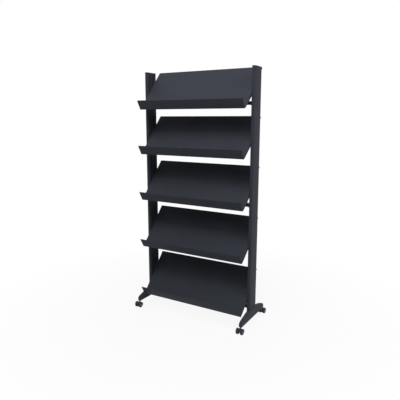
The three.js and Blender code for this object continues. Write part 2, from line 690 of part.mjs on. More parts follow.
for (const [endName, end] of Object.entries({ front: -1, rear: 1 })) {
  for (const [sideName, side] of Object.entries(SIDES)) {
    const place = `${endName}_${sideName}`;
    const caster = new THREE.Group();
    caster.position.set(side * FOOT_X, end * (STEM_Y + CASTER_TRAIL), WHEEL_RADIUS);
    caster.rotation.z = end > 0 ? Math.PI : 0;
    caster.add(named(`caster_hood_${place}`, casterHood(), greyPlastic()));
    caster.add(named(`caster_axle_${place}`, casterAxle(), steel()));
    caster.add(named(`caster_stem_${place}`, casterStem(), steel()));
    for (const [faceName, face] of Object.entries({ inner: -1, outer: 1 })) {
      const wheel = named(`caster_wheel_${place}_${faceName}`, casterWheel(), greyPlastic());
      const outward = -face * side * end;
      wheel.position.x = outward * (WEB_WIDTH / 2 + WHEEL_SIDE_GAP + WHEEL_WIDTH / 2);
      wheel.rotation.z = outward < 0 ? Math.PI : 0;
      caster.add(wheel);
    }
    rack.add(caster);
  }
}

export default rack;
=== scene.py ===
"""A mobile display rack: slotted uprights on round-nosed feet and casters, with inclined folded shelves.

The script is laid out as an add-on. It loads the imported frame, replaces its faceted solids by smooth
surfaces worked out with numpy, gives each surface a procedural finish, and sets the stage.
Metres, +Z up, the front faces -Y.
"""

import math

import bmesh
import bpy
import numpy as np
from bpy.props import FloatProperty, FloatVectorProperty, PointerProperty
from mathutils import Matrix, Vector


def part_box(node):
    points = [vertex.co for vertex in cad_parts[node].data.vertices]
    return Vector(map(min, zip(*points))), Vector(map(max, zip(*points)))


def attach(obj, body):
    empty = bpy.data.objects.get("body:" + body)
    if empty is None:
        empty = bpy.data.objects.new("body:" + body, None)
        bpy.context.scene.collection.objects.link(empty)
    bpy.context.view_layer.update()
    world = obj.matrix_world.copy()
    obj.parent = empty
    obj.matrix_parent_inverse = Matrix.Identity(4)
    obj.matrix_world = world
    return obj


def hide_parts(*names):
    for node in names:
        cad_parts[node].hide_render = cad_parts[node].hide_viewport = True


bl_info = {
    "name": "Mobile Display Rack",
    "version": (1, 0, 0),
    "blender": (4, 5, 0),
    "location": "View3D > Sidebar > Rack",
    "description": "Builds a display rack with folded shelves round its fixed frame",
    "category": "Add Mesh",
}

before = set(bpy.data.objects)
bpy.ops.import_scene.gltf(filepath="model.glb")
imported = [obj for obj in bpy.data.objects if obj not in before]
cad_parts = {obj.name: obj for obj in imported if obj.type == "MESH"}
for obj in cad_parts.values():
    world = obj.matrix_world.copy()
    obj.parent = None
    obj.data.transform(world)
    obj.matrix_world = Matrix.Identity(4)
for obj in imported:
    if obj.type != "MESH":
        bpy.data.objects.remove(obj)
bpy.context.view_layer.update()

SIDES = {"left": -1, "right": 1}
ENDS = {"front": -1, "rear": 1}
SHELVES = ("bottom", "lower", "middle", "upper", "top")
CROSSBARS = ("bottom", "middle", "top")
ROOT = "rack"  # the body that stands still
SHARP = math.radians(35)  # an edge that turns further stays sharp
MERGE = 1e-6  # vertices closer than this become one
SLIVER = 1e-7  # edges shorter than this are dissolved
COAT_IOR = 1.16  # low, because the satin finishes reflect little
PLASTIC_IOR = 1.30
X, Y, Z = range(3)


def length(name, description, default):
    """A size in metres that a user may change."""
    return FloatProperty(name=name, description=description, default=default, unit="LENGTH", precision=4)


def angle(name, description, degrees):
    """An angle that a user may change."""
    return FloatProperty(name=name, description=description, default=math.radians(degrees), unit="ROTATION")


def colour(name, description, default):
    """A linear colour that a user may change."""
    return FloatVectorProperty(
        name=name, description=description, default=default, subtype="COLOR", size=3, min=0, max=1
    )


def power(name, description, default):
    """The power of a light that a user may change."""
    return FloatProperty(name=name, description=description, default=default, unit="POWER")


def fraction(name, description, default):
    """A part of a whole that a user may change."""
    return FloatProperty(
        name=name, description=description, default=default, subtype="FACTOR", min=0, max=1
    )


class RackSizes(bpy.types.PropertyGroup):
    """Sizes of the formed pieces. Their places come from the frame."""

    upright_corner: length("Upright corner", "Outside corner radius of the uprights", 0.0025)
    upright_wall: length("Upright wall", "Wall of the upright tube", 0.002)
    slot: length("Slot", "Side of a square slot", 0.010)
    slot_pitch: length("Slot pitch", "Distance between slot rows", 0.0175)
    slot_first: length("First slot", "Height of the lowest slot row", 0.14023)
    slot_last_gap: length("Top gap", "Least distance from the top of the tube to a slot row", 0.015)
    slot_inset: length("Slot inset", "Front face of the upright to the front column", 0.0265)
    slot_columns: length("Slot columns", "Distance between the two columns of slots", 0.029)
    sheet: length("Sheet", "Thickness of the shelf sheet", 0.002)
    sheet_bend: length("Sheet bend", "Inside radius of the shelf's folds", 0.002)
    panel_length: length("Panel length", "Inclined panel, fold to rear edge", 0.325)
    panel_tilt: angle("Panel tilt", "Slope of the panel", 48.2)
    rear_flange: length("Rear flange", "Stiffening flange behind the panel", 0.020)
    lip_length: length("Lip length", "Front lip, fold to top edge", 0.063)
    lip_tilt: angle("Lip tilt", "Slope of the front lip", 60)
    hem: length("Hem", "Turned edge along the lip", 0.009)
    hem_bend: length("Hem bend", "Inside radius of the turned edge", 0.0006)
    edge: length("Edge", "Rounding of cut edges", 0.0004)
    bracket_sheet: length("Bracket sheet", "Thickness of the hook brackets", 0.003)
    bracket_flange: length("Bracket flange", "Flange of a bracket under the panel", 0.018)
    bracket_margin: length("Bracket margin", "Plate left beside the hooks", 0.015)
    bracket_corner: length("Bracket corner", "Corner radius of a bracket's deep end", 0.005)
    bracket_start: length("Bracket start", "Front fold to the tip of a bracket's arm", 0.012)
    bracket_slope: angle("Bracket slope", "Fall of a bracket's lower edge from the panel", 9.2)
    hook_depth: length("Hook depth", "Least height of the panel above a hook", 0.020)
    hook_width: length("Hook width", "Width of a hook", 0.008)
    hook_nib: length("Hook nib", "How far a hook drops behind the slot", 0.0035)
    foot_width: length("Foot width", "Width of the arms", 0.020)
    foot_hub: length("Foot hub", "Height of the foot under the upright", 0.0585)
    foot_shoulder: length("Foot shoulder", "Height of the point that the arm's curve leans towards", 0.050)
    foot_toe: length("Foot toe", "Height that the arm falls to at its end", 0.0255)
    foot_nose: length("Foot nose", "Rounding at the end of the arm", 0.012)
    foot_edge: length("Foot edge", "Rounding along the top of the arm", 0.005)
    foot_wall: length("Foot wall", "Wall of the hollow arm", 0.003)
    foot_boss: length("Foot boss", "Solid end over each caster", 0.022)
    crossbar_corner: length("Crossbar corner", "Corner radius of the crossbars", 0.003)
    gusset: length("Gusset", "Legs of the gusset under each end of a crossbar", 0.024)
    gusset_sheet: length("Gusset sheet", "Thickness of the gussets", 0.004)
    socket: length("Socket", "Width of the hexagon in the screw heads", 0.0035)
    wheel_dish: length("Wheel dish", "Depth of the wheel's hub inside its rim", 0.001)
    axle_head: length("Axle head", "Thickness of the heads of a caster's axle", 0.0012)
    web_gap: length("Web gap", "Gap between a caster's web and its wheels", 0.0005)
    fit: length("Fit", "Gap between pieces that seat on or in each other", 0.0003)


class RackColours(bpy.types.PropertyGroup):
    """Colours of the finishes, linear."""

    coat: colour("Coat", "Powder coat", (0.0365, 0.0400, 0.0510))
    coat_pale: colour("Pale coat", "Powder coat where hands have polished it", (0.0445, 0.0486, 0.0610))
    dust: colour("Dust", "Fine dust on level faces", (0.140, 0.146, 0.160))
    cap: colour("Cap", "Moulded caps of the uprights", (0.009, 0.009, 0.010))
    nylon: colour("Nylon", "Caster hoods", (0.025, 0.025, 0.029))
    tread: colour("Tread", "Caster wheels", (0.028, 0.028, 0.032))
    scuff: colour("Scuff", "Grey scuffs on the treads", (0.085, 0.085, 0.087))
    zinc: colour("Zinc", "Plated steel", (0.300, 0.306, 0.315))
    black_zinc: colour("Black zinc", "Blackened plating of the screws", (0.058, 0.060, 0.066))
    sheen: colour("Sheen", "Tint of the powder coat's reflections", (0.80, 0.88, 1.0))


class RackStage(bpy.types.PropertyGroup):
    """Camera and light."""

    camera_place: FloatVectorProperty(
        name="Camera",
        description="Place of the camera",
        default=(1.3727, -2.3290, 1.2495),
        subtype="TRANSLATION",
    )
    camera_turn: angle("Camera turn", "Turn of the camera about the vertical", 30.48)
    camera_dip: angle("Camera dip", "How far the camera looks down", 10.55)
    camera_roll: angle("Camera roll", "Turn of the camera about its line of sight", 0.09)
    lens: FloatProperty(name="Lens", description="Focal length, 36 mm frame", default=38.80, unit="CAMERA")
    world_light: fraction("World", "Strength of the surrounding light", 0.20)
    key_light: power("Key", "Power of the large light in front", 43)
    top_light: power("Top", "Power of the light overhead", 30)
    fill_light: power("Fill", "Power of the light on the right", 30)
    rear_light: power("Rear", "Power of the light behind", 50)
    floor_white: fraction("Floor", "Share of plain white in the floor", 0.90)
    fade_from: length("Fade from", "Distance at which the floor starts to turn white", 0.55)
    fade_to: length("Fade to", "Distance at which the floor is white", 1.60)


# Surfaces


def grid_faces(rows, columns):
    """Quads of a grid whose vertices are numbered row by row, with the last column joined to the first."""
    i, j = np.indices((rows - 1, columns))
    i2, j2 = i + 1, (j + 1) % columns
    quads = np.stack([i * columns + j, i2 * columns + j, i2 * columns + j2, i * columns + j2], -1)
    return quads.reshape(-1, 4)


class Surface:
    """Vertices and faces gathered from several patches, and then made one object."""

    def __init__(self):
        self.points, self.faces, self.count = [], [], 0

    def add(self, points, faces):
        """Adds a patch: points as an array of (..., 3), faces as rows of indices into it."""
        points = np.asarray(points, float).reshape(-1, 3)
        self.points.append(points)
        self.faces.extend((np.asarray(face) + self.count).tolist() for face in faces)
        self.count += len(points)
        return self

    def prism(self, loops):
        """A closed outline at several places, as (places, points, 3), joined up and closed by end faces."""
        places, around = loops.shape[:2]
        ends = [np.arange(around)[::-1], (places - 1) * around + np.arange(around)]
        return self.add(loops, [*grid_faces(places, around)[:, ::-1], *ends])

    def object(self, name, material, outward=True):
        """The gathered patches as a smooth-shaded object with sharp corners, its doubles merged."""
        mesh = bpy.data.meshes.new(name)
        mesh.from_pydata(np.concatenate(self.points).tolist(), [], self.faces)
        work = bmesh.new()
        work.from_mesh(mesh)
        bmesh.ops.remove_doubles(work, verts=work.verts, dist=MERGE)
        bmesh.ops.dissolve_degenerate(work, edges=work.edges, dist=SLIVER)
        if outward:
            bmesh.ops.recalc_face_normals(work, faces=work.faces)
        work.to_mesh(mesh)
        work.free()
        mesh.polygons.foreach_set("use_smooth", np.ones(len(mesh.polygons), bool))
        mesh.set_sharp_from_angle(angle=SHARP)
        mesh.materials.append(material)
        made = bpy.data.objects.new(name, mesh)
        bpy.context.scene.collection.objects.link(made)
        return made


def soften(obj, width, segments=2):
    """Rounds the sharp edges of an object."""
    bevel = obj.modifiers.new("soft edges", "BEVEL")
    bevel.width = width
    bevel.segments = segments
    bevel.limit_method = "ANGLE"
    bevel.angle_limit = SHARP
    bevel.harden_normals = True


def box_of(node):
    """The lowest and the highest corner of a solid's box."""
    return [np.array(corner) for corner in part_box(node)]


def arc(centre, radius, start, stop, steps):
    """Points on a circle: centre + radius (cos t, sin t), with t from start to stop."""
    t = np.linspace(start, stop, steps + 1)
    return np.asarray(centre) + radius * np.stack([np.cos(t), np.sin(t)], -1)


def rounded_rectangle(width, depth, radius, steps=6):
    """A rectangle centred on the origin: four quarter circles joined by straight sides, anticlockwise."""
    x, y = width / 2 - radius, depth / 2 - radius
    quarter = math.pi / 2
    corners = enumerate([(x, -y), (x, y), (-x, y), (-x, -y)])
    return np.concatenate([arc(at, radius, (k - 1) * quarter, k * quarter, steps) for k, at in corners])


def rounded_polygon(corners, radius, steps=5):
    """A polygon whose corners are cut back by radius along each edge and bridged by quadratic curves:
    (1-t)^2 enter + 2 t (1-t) corner + t^2 leave."""
    corners = np.asarray(corners, float)
    to_next = np.roll(corners, -1, 0) - corners
    to_next /= np.linalg.norm(to_next, axis=1, keepdims=True)
    enter = corners - radius * np.roll(to_next, 1, 0)
    leave = corners + radius * to_next
    t = np.linspace(0, 1, steps + 1)[None, :, None]
    curves = (1 - t) ** 2 * enter[:, None] + 2 * t * (1 - t) * corners[:, None] + t**2 * leave[:, None]
    return curves.reshape(-1, 2)


def folded_sheet(corners, thickness, inside_radii, steps=8):
    """The outline of a sheet folded along a path: offset by half the thickness to the right on the way out
    and to the left on the way back, with concentric arcs at each fold."""
    corners = np.asarray(corners, float)
    along = np.diff(corners, axis=0)
    along /= np.linalg.norm(along, axis=1, keepdims=True)
    left = np.stack([-along[:, 1], along[:, 0]], -1)
    half = thickness / 2
    right_side, left_side = [corners[:1] - half * left[0]], [corners[:1] + half * left[0]]
    for fold, inside in enumerate(inside_radii):
        before, after = along[fold], along[fold + 1]
        turn = math.atan2(before[0] * after[1] - before[1] * after[0], before @ after)
        side, radius = math.copysign(1, turn), inside + half
        setback = radius * math.tan(abs(turn) / 2)
        centre = corners[fold + 1] - setback * before + side * radius * left[fold]
        start = math.atan2(before[1], before[0]) - side * math.pi / 2
        right_side.append(arc(centre, radius + side * half, start, start + turn, steps))
        left_side.append(arc(centre, radius - side * half, start, start + turn, steps))
    right_side.append(corners[-1:] - half * left[-1])
    left_side.append(corners[-1:] + half * left[-1])
    return np.concatenate([*right_side, np.concatenate(left_side)[::-1]])


def turned(profile, sides):
    """A profile of (radius, place) turned about an axis: (place, radius cos t, radius sin t)."""
    profile = np.asarray(profile, float)
    t = (np.arange(sides) + 0.5) * 2 * math.pi / sides
    radius, place = profile[:, :1], profile[:, 1:]
    points = np.stack(np.broadcast_arrays(place, radius * np.cos(t), radius * np.sin(t)), -1)
    return points, grid_faces(len(profile), sides)


def rounded_profile(corners, radius, steps=4):
    """An open profile whose inner corners are rounded, its ends kept."""
    rounded = rounded_polygon(corners, radius, steps)[steps + 1 : -steps - 1]
    return np.concatenate([corners[:1], rounded, corners[-1:]])


def carried(outline, places, axis):
    """An outline set at several places along an axis. It lies in the other two axes, in their order."""
    loops = np.empty((len(places), len(outline), 3))
    loops[..., axis] = np.asarray(places)[:, None]
    loops[..., [other for other in (X, Y, Z) if other != axis]] = outline
    return loops


# Finishes


class Wire:
    """A node's output that can be used in Python arithmetic. Each operation adds a Math node."""

    def __init__(self, tree, socket):
        self.tree, self.socket = tree, socket

    def math(self, operation, *values, clamp=False):
        """The output of a Math node that works on wires and plain values."""
        node = self.tree.nodes.new("ShaderNodeMath")
        node.operation, node.use_clamp = operation, clamp
        for socket, value in zip(node.inputs, values):
            plug(self.tree, socket, value)
        return Wire(self.tree, node.outputs[0])

    def __add__(self, other):
        return self.math("ADD", self, other)

    __radd__ = __add__

    def __sub__(self, other):
        return self.math("SUBTRACT", self, other)

    def __rsub__(self, other):
        return self.math("SUBTRACT", other, self)

    def __mul__(self, other):
        return self.math("MULTIPLY", self, other)

    __rmul__ = __mul__

    def between(self, low, high):
        """0 below low, 1 above high, and straight between them."""
        return self.math("MULTIPLY", self - low, 1 / (high - low), clamp=True)


def plug(tree, socket, value):
    """Links a wire to a socket, or sets a plain value on it."""
    if isinstance(value, Wire):
        tree.links.new(value.socket, socket)
    elif isinstance(value, tuple) and len(value) == 3 and len(socket.default_value) == 4:
        socket.default_value = (*value, 1)
    else:
        socket.default_value = value


class Finish:
    """A node material under construction."""

    def __init__(self, name):
        self.material = bpy.data.materials.new(name)
        self.material.use_nodes = True
        self.tree = self.material.node_tree
        self.tree.nodes.clear()
        self.place = self.node("TexCoord", output="Object")

    def node(self, kind, settings=None, inputs=None, output=0):
        """Adds a shader node: its settings first, then the values or wires of its sockets."""
        made = self.tree.nodes.new("ShaderNode" + kind)
        for name, value in (settings or {}).items():
            setattr(made, name, value)
        for name, value in (inputs or {}).items():
            plug(self.tree, made.inputs[name], value)
        return Wire(self.tree, made.outputs[output])

    def noise(self, size, detail=2.0, roughness=0.5, stretch=(1, 1, 1)):
        """Soft noise with features of about a size in metres, drawn out by stretch."""
        scale = tuple(1 / axis for axis in stretch)
        vector = self.node("Mapping", inputs={"Vector": self.place, "Scale": scale}, output="Vector")
        inputs = {"Vector": vector, "Scale": 1 / size, "Detail": detail, "Roughness": roughness}
        return self.node("TexNoise", inputs=inputs, output="Fac")

    def mix(self, share, first, second):
        """A colour between two colours."""
        made = self.tree.nodes.new("ShaderNodeMix")
        made.data_type = "RGBA"
        # Inputs 6 and 7 and output 2 of a Mix node are its colours
        for index, value in ((0, share), (6, first), (7, second)):
            plug(self.tree, made.inputs[index], value)
        return Wire(self.tree, made.outputs[2])

    def facing_up(self):
        """1 on level faces that look up, 0 on steep ones and those below."""
        steep, level = 0.55, 0.98
        normal = self.node("NewGeometry", output="Normal")
        return self.node("SeparateXYZ", inputs={"Vector": normal}, output="Z").between(steep, level)

    def surface(self, base, roughness, height=None, depth=0.0, **constants):
        """The closing shader. Height is the relief, of a depth in metres."""
        inputs = {"Base Color": base, "Roughness": roughness, **constants}
        if height is not None:
            relief = {"Height": height, "Distance": depth, "Strength": 1.0}
            inputs["Normal"] = self.node("Bump", inputs=relief, output="Normal")
        self.node_output(self.node("BsdfPrincipled", inputs=inputs, output="BSDF"))
        return self.material

    def node_output(self, shader):
        """Ends the material with a shader."""
        output = self.tree.nodes.new("ShaderNodeOutputMaterial")
        self.tree.links.new(shader.socket, output.inputs["Surface"])


def powder_coat(colours):
    """Satin powder coat: orange-peel relief, a slow drift of tone, hand polish, and dust on level faces."""
    drift_share, rub_share, speck_share, dust_share, peel_share = 0.35, 0.15, 0.30, 0.06, 0.70
    satin, drift_dulls, dust_dulls, rub_shines, relief = 0.50, 0.08, 0.10, 0.06, 0.00006
    finish = Finish("powder coat")
    drift = finish.noise(size=0.30)
    rub = finish.noise(size=0.09, detail=4.0, roughness=0.6, stretch=(2.5, 1, 1)).between(0.55, 0.78)
    speck = finish.noise(size=0.0016, detail=1.0)
    peel = finish.noise(size=0.0030)
    dust = finish.facing_up() * finish.noise(size=0.06, detail=3.0).between(0.40, 0.80)
    coat, pale, grey = tuple(colours.coat), tuple(colours.coat_pale), tuple(colours.dust)
    tone = finish.mix(drift.between(0.35, 0.70) * drift_share + rub * rub_share, coat, pale)
    tone = finish.mix(speck.between(0.62, 0.80) * speck_share, tone, pale)
    tone = finish.mix(dust * dust_share, tone, grey)
    roughness = satin + drift * drift_dulls + dust * dust_dulls - rub * rub_shines
    height = peel * peel_share + speck * (1 - peel_share)
    reflection = {"IOR": COAT_IOR, "Specular Tint": tuple(colours.sheen)}
    return finish.surface(tone, roughness, height, relief, **reflection)


def moulded(name, base, scuff):
    """Moulded plastic with a fine spark-eroded grain and a few pale scuffs."""
    mark_share, skin_share = 0.35, 0.08
    satin, drift_dulls, mark_dulls, relief = 0.42, 0.16, 0.15, 0.00006
    finish = Finish(name)
    skin = finish.noise(size=0.0008)
    mark = finish.noise(size=0.007, detail=5.0, roughness=0.7, stretch=(3, 1, 1)).between(0.60, 0.76)
    drift = finish.noise(size=0.02)
    tone = finish.mix(mark * mark_share + skin.between(0.55, 0.80) * skin_share, tuple(base), tuple(scuff))
    roughness = satin + drift * drift_dulls + mark * mark_dulls
    return finish.surface(tone, roughness, skin, relief, IOR=PLASTIC_IOR)


def tread(colours):
    """Hard caster tread, greyed where it has rolled on floors."""
    worn_share, satin, worn_dulls, relief = 0.45, 0.48, 0.22, 0.00010
    finish = Finish("caster tread")
    skin = finish.noise(size=0.0009, detail=3.0)
    worn = finish.noise(size=0.006, detail=5.0, roughness=0.65).between(0.42, 0.72)
    tone = finish.mix(worn * worn_share, tuple(colours.tread), tuple(colours.scuff))
    return finish.surface(tone, satin + worn * worn_dulls, skin, relief, IOR=PLASTIC_IOR)


def zinc(name, plating):
    """Zinc-plated steel with a cloudy passivated skin."""
    dulled, satin, cloud_dulls, relief = 0.62, 0.26, 0.22, 0.00002
    finish = Finish(name)
    cloud = finish.noise(size=0.004, detail=4.0, roughness=0.6)
    line = finish.noise(size=0.0005, detail=1.0, stretch=(1, 1, 6))
    dull = tuple(dulled * channel for channel in plating)
    tone = finish.mix(cloud.between(0.30, 0.75), tuple(plating), dull)
    return finish.surface(tone, satin + cloud * cloud_dulls, line, relief, Metallic=1.0)


def seen_or_mirrored(tree):
    """1 where the camera looks, straight or in a mirror or through glass, and 0 for other light."""
    rays = tree.nodes.new("ShaderNodeLightPath")
    seen = Wire(tree, rays.outputs["Is Camera Ray"])
    for kind in ("Is Glossy Ray", "Is Transmission Ray"):
        seen = seen.math("MAXIMUM", seen, Wire(tree, rays.outputs[kind]))
    return seen


FINISHES = {
    "powder coat": powder_coat,
    "caps": lambda colours: moulded("caps", colours.cap, colours.scuff),
    "nylon": lambda colours: moulded("nylon", colours.nylon, colours.scuff),
    "caster tread": tread,
    "zinc steel": lambda colours: zinc("zinc steel", colours.zinc),
    "black zinc": lambda colours: zinc("black zinc", colours.black_zinc),
}


def finish_of(name):
    """The finish of that name, made once."""
    found = bpy.data.materials.get(name)
    return found or FINISHES[name](bpy.context.scene.rack_colours)


# Pieces


def form(surface, node, body, finish, outward=True):
    """Makes the surface an object that rides on a body, stands for a solid and has a finish."""
    formed = surface.object(f"formed_{node}", finish_of(finish), outward)
    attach(formed, body)
    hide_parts(node)
    return formed


class RackOperator:
    """What the operators share: they can be undone."""

    bl_options = {"REGISTER", "UNDO"}


class RACK_OT_uprights(RackOperator, bpy.types.Operator):
    """Two tubes of rounded rectangular section, with two columns of square slots in their inner walls"""

    bl_idname = "rack.uprights"
    bl_label = "Uprights"

    def execute(self, context):
        for side_name, side in SIDES.items():
            self.tube(context.scene.rack_sizes, side_name, side)
        return {"FINISHED"}

    def tube(self, sizes, side_name, side):
        """Section times height: (section(s), z) on a grid whose lines run along the slot edges. The quads
        inside the slots are left out, and the wall gets its thickness afterwards."""
        node = f"upright_{side_name}"
        low, high = box_of(node)
        width, depth = (high - low)[:2]
        columns = -depth / 2 + sizes.slot_inset + np.array([0, sizes.slot_columns])
        edges = np.sort(np.concatenate([columns - sizes.slot / 2, columns + sizes.slot / 2]))[::-1]
        section = rounded_rectangle(width, depth, sizes.upright_corner)
        inner_start = 3 * len(section) // 4
        inner = np.stack([np.full(len(edges), -width / 2), edges], -1)
        section = np.insert(section, inner_start, inner, axis=0) * (side, 1)
        rows = np.arange(sizes.slot_first, high[Z] - sizes.slot_last_gap, sizes.slot_pitch)
        bands = (rows[:, None] + np.array([-0.5, 0.5]) * sizes.slot).ravel()
        heights = np.concatenate([[low[Z]], bands, [high[Z]]])
        points = carried(section + ((low + high) / 2)[:2], heights, Z)
        band, strip = np.indices((len(heights) - 1, len(section)))
        open_quad = (band % 2 == 1) & np.isin(strip, (inner_start, inner_start + 2))
        quads = grid_faces(len(heights), len(section))[~open_quad.ravel()]
        tube = Surface().add(points, quads[:, ::-side])
        formed = form(tube, node, ROOT, "powder coat", outward=False)
        wall = formed.modifiers.new("wall", "SOLIDIFY")
        wall.thickness = sizes.upright_wall
        wall.offset = -1
        soften(formed, sizes.edge)


class RACK_OT_caps(RackOperator, bpy.types.Operator):
    """A moulded cap in the top end of each upright"""

    bl_idname = "rack.caps"
    bl_label = "Caps"

    def execute(self, context):
        for side_name in SIDES:
            self.cap(context.scene.rack_sizes, side_name)
        return {"FINISHED"}

    def cap(self, sizes, side_name):
        """A rounded rectangle carried up from the end of the tube, and a smaller one inside the tube that
        ends within the first."""
        node = f"upright_cap_{side_name}"
        low, high = box_of(node)
        tube_low, tube_high = box_of(f"upright_{side_name}")
        seat, middle = tube_high[Z], ((low + high) / 2)[:2]
        inside = (tube_high - tube_low)[:2] - 2 * (sizes.upright_wall + sizes.fit)
        lid = rounded_rectangle(*(high - low)[:2], sizes.upright_corner) + middle
        stopper = rounded_rectangle(*inside, sizes.upright_wall) + middle
        surface = Surface().prism(carried(lid, (seat, high[Z]), Z))
        surface.prism(carried(stopper, (low[Z], (seat + high[Z]) / 2), Z))
        soften(form(surface, node, ROOT, "caps"), 2 * sizes.edge, segments=3)


class RACK_OT_feet(RackOperator, bpy.types.Operator):
    """Hollow feet whose arms curve down from a hub to rounded toes"""

    bl_idname = "rack.feet"
    bl_label = "Feet"

    EDGE_STEPS = 8
    HOLLOW_STEPS = 14
    TOE_STEPS = 30

    def execute(self, context):
        for side_name, side in SIDES.items():
            self.foot(context.scene.rack_sizes, side_name, side)
        return {"FINISHED"}

    def top(self, sizes, reach, half, hub):
        """Height of the arm: a quadratic curve from the hub over the shoulder to the toe, ended by a
        quadratic corner, u^2 arm + 2 u (1-u) toe + (1-u)^2 (toe - nose), with u the square root of
        distance to the end / nose."""
        share = np.clip((reach - hub) / (half - hub), 0, 1)
        ends = (1 - share) ** 2 * sizes.foot_hub + share**2 * sizes.foot_toe
        arm = ends + 2 * share * (1 - share) * sizes.foot_shoulder
        u = np.sqrt(np.clip((half - reach) / sizes.foot_nose, 0, 1))
        corner = 2 * u * (1 - u) * sizes.foot_toe + (1 - u) ** 2 * (sizes.foot_toe - sizes.foot_nose)
        return u**2 * arm + corner

    def arch(self, left, right, height, left_edge, right_edge):
        """Sections one after another: up the right side, round its top corner r (1 - cos t, 1 - sin t),
        over to the left corner and down the left side."""
        t = np.linspace(0, math.pi / 2, self.EDGE_STEPS + 1)
        ease_in, ease_out = 1 - np.cos(t), 1 - np.sin(t)
        left, right, height, left_edge, right_edge = (
            part[:, None] for part in np.broadcast_arrays(left, right, height, left_edge, right_edge)
        )
        return np.concatenate([
            np.stack([right, 0 * right], -1),
            np.stack([right - right_edge * ease_in, height - right_edge * ease_out], -1),
            np.stack([left + left_edge * ease_out, height - left_edge * ease_in], -1),
            np.stack([left, 0 * left], -1),
        ], 1)

    def foot(self, sizes, side_name, side):
        """Arches carried from toe to toe, narrowing round each toe as a quarter circle and widened under
        the upright, with a smaller arch inside where the arm is hollow."""
        node = f"foot_{side_name}"
        low, high = box_of(node)
        half = (high - low)[Y] / 2
        arms_x = sum(box_of(f"caster_stem_front_{side_name}"))[X] / 2
        post_low, post_high = box_of(f"upright_{side_name}")
        hub, wall, edge = (post_high - post_low)[Y] / 2, sizes.foot_wall, sizes.foot_edge
        near, far = hub + wall, half - sizes.foot_boss
        rib = (near + far) / 2
        toe = far + sizes.foot_boss * np.sin(np.linspace(0, math.pi / 2, self.TOE_STEPS))
        spans = [
            ((0, hub), "hub"),
            ((hub, near), "solid"),
            (np.linspace(near, rib - wall / 2, self.HOLLOW_STEPS), "hollow"),
            ((rib - wall / 2, rib + wall / 2), "solid"),
            (np.linspace(rib + wall / 2, far, self.HOLLOW_STEPS), "hollow"),
            (toe, "solid"),
        ]
        reach = np.concatenate([span for span, _ in spans])
        kind = np.concatenate([np.full(len(span), name) for span, name in spans])
        reach, kind = np.concatenate([-reach[::-1], reach]), np.concatenate([kind[::-1], kind])
        distance = np.abs(reach)
        height = self.top(sizes, distance, half, hub)
        tip = np.clip((distance - half) / edge + 1, 0, 1)
        breadth = sizes.foot_width / 2 - edge * (1 - np.sqrt(1 - tip**2))
        inward = np.where(kind == "hub", abs(arms_x - (post_low if side > 0 else post_high)[X]), breadth)
        inward_edge = np.where(kind == "hub", sizes.edge, edge)
        if side > 0:
            outer = self.arch(-inward, breadth, height, inward_edge, edge)
        else:
            outer = self.arch(-breadth, inward, height, edge, inward_edge)
        inner = self.arch(wall - breadth, breadth - wall, height - wall, edge - wall, edge - wall)[:, ::-1]
        inner[..., 1] *= (kind == "hollow")[:, None]
        section = np.concatenate([outer, inner], 1)
        loops = np.empty((len(reach), section.shape[1], 3))
        loops[..., X] = arms_x + section[..., 0]
        loops[..., Y] = (low + high)[Y] / 2 + reach[:, None]
        loops[..., Z] = low[Z] + section[..., 1]
        form(Surface().prism(loops), node, ROOT, "powder coat")


